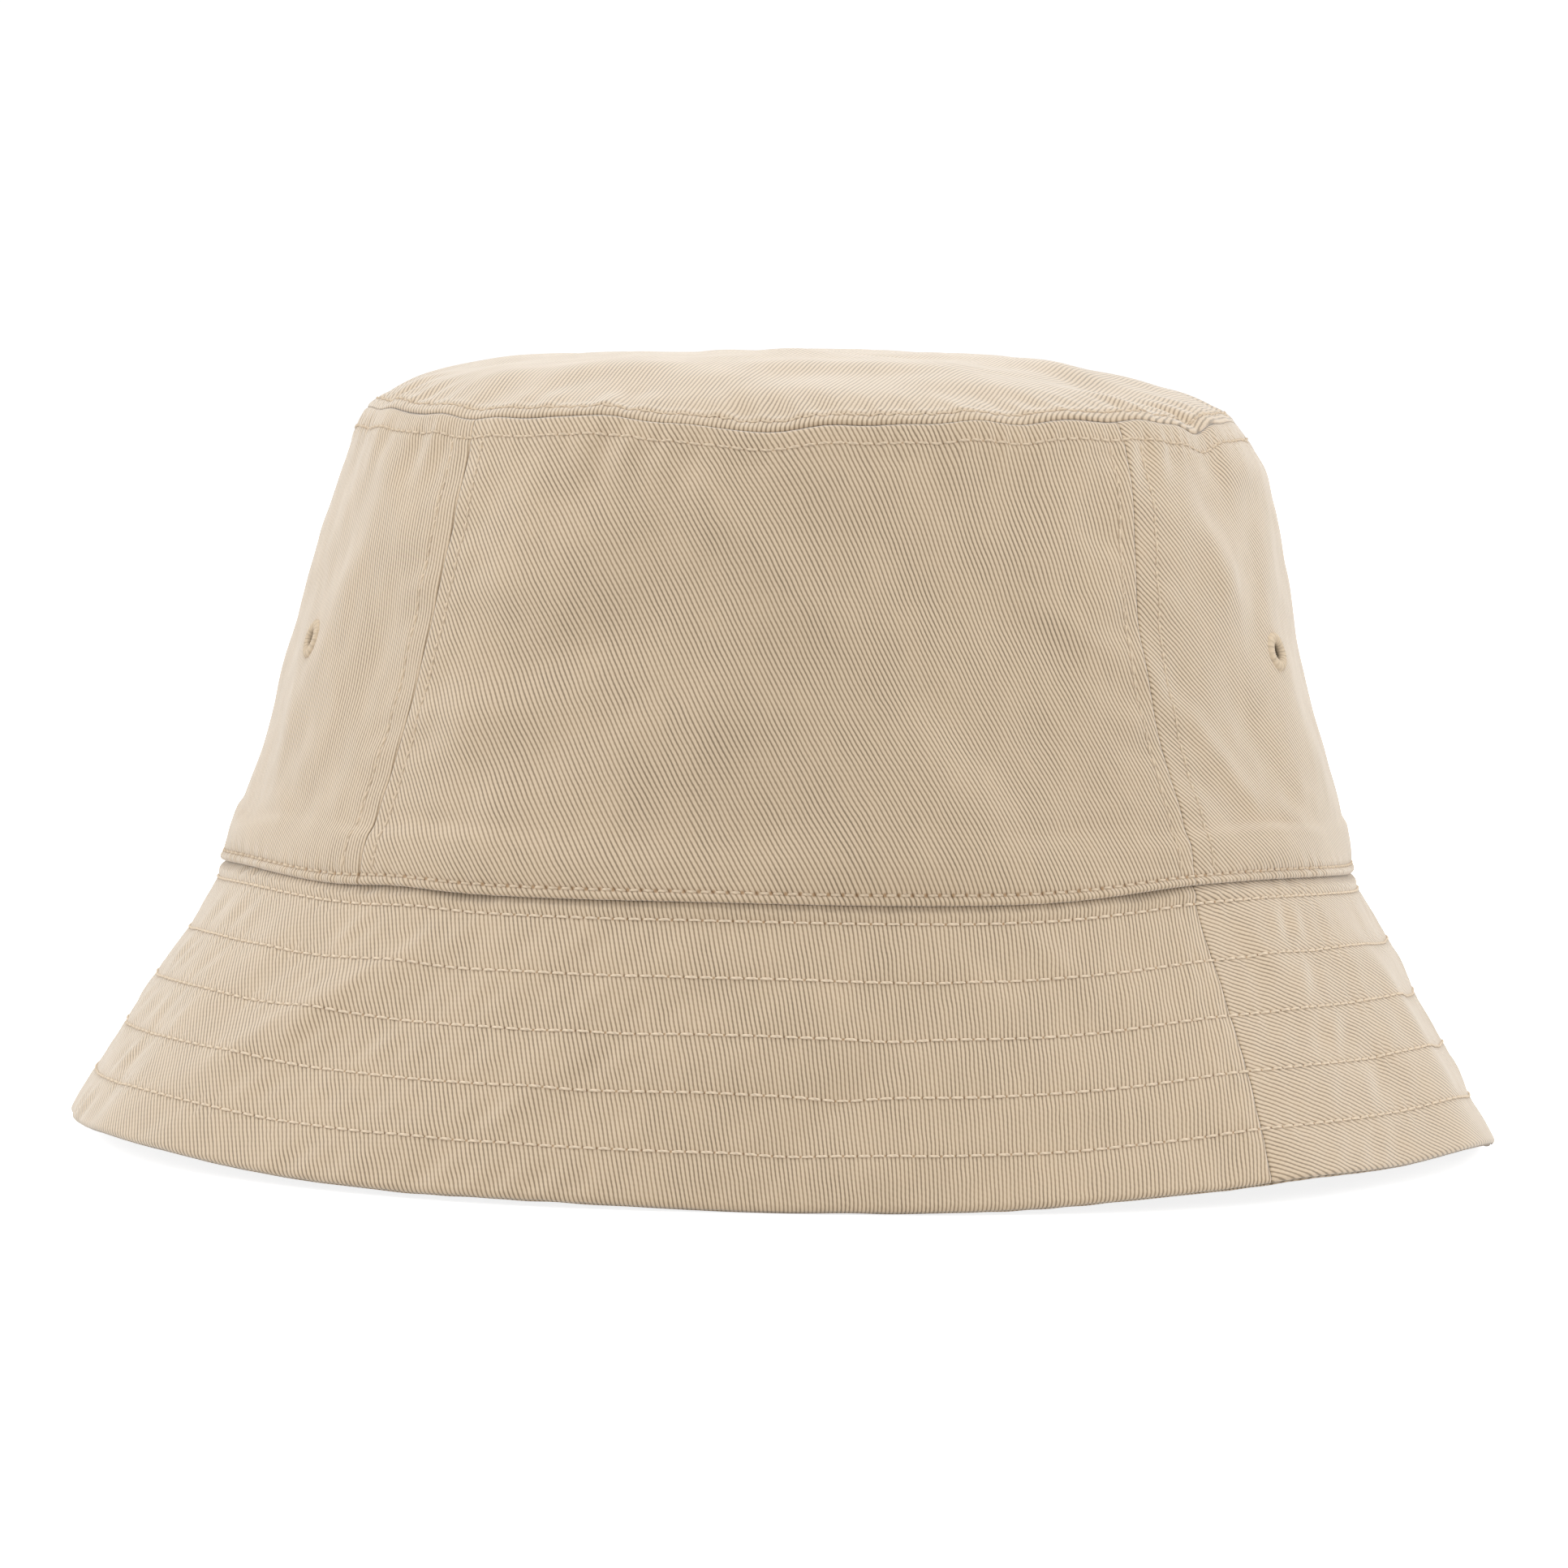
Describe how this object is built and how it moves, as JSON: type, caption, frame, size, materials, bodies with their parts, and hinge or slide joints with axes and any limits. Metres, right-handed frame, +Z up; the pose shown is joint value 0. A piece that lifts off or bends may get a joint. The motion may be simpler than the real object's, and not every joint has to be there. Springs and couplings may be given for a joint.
{
  "type": "bucket hat",
  "caption": "Unlined cotton twill bucket hat: four-panel crown with domed top, embroidered eyelets, row-stitched sloping brim, sweatband and hinged care label.",
  "frame": {"origin": "centre of the brim's lower edge, on the surface that the hat stands on", "axes": "+Z up through the crown; the front of the hat faces -Y; +X is the right-hand side seen from the front"},
  "size_m": [0.2386, 0.2504, 0.1323],
  "materials": {
    "twill": "matte beige cotton twill with a diagonal rib",
    "interlining": "matte non-woven stiffener",
    "sweatband": "matte fine cotton twill",
    "seam_tape": "matte plain-weave cotton tape",
    "thread": "slightly shiny twisted sewing thread",
    "eyelet_thread": "satin-stitched embroidery thread",
    "label": "smooth woven satin, blank"
  },
  "bodies": {
    "hat": {"crown_panel_front": "twill", "crown_panel_right": "twill", "crown_panel_back": "twill", "crown_panel_left": "twill", "crown_top": "twill", "brim_top_front": "twill", "brim_top_back": "twill", "brim_under_front": "twill", "brim_under_back": "twill", "brim_interlining": "interlining", "sweatband": "sweatband", "seam_tape_top": "seam_tape", "seam_tape_front_right": "seam_tape", "seam_tape_back_right": "seam_tape", "seam_tape_back_left": "seam_tape", "seam_tape_front_left": "seam_tape", "brim_stitch_1": "thread", "brim_stitch_2": "thread", "brim_stitch_3": "thread", "brim_stitch_4": "thread", "brim_stitch_5": "thread", "base_edge_stitch": "thread", "top_seam_stitch_wall": "thread", "top_seam_stitch_crown": "thread", "seam_stitch_front_right_1": "thread", "seam_stitch_front_right_2": "thread", "seam_stitch_back_right_1": "thread", "seam_stitch_back_right_2": "thread", "seam_stitch_back_left_1": "thread", "seam_stitch_back_left_2": "thread", "seam_stitch_front_left_1": "thread", "seam_stitch_front_left_2": "thread", "eyelet_left_front": "eyelet_thread", "eyelet_left_back": "eyelet_thread", "eyelet_right_front": "eyelet_thread", "eyelet_right_back": "eyelet_thread"},
    "label": {"care_label": "label"}
  },
  "joints": [
    {"name": "label_hinge", "type": "hinge", "parent": "hat", "child": "label", "pos_m": [0, 0.0846, 0.0775], "axis": [-1, 0, 0], "range_deg": [-8, 150]}
  ]
}
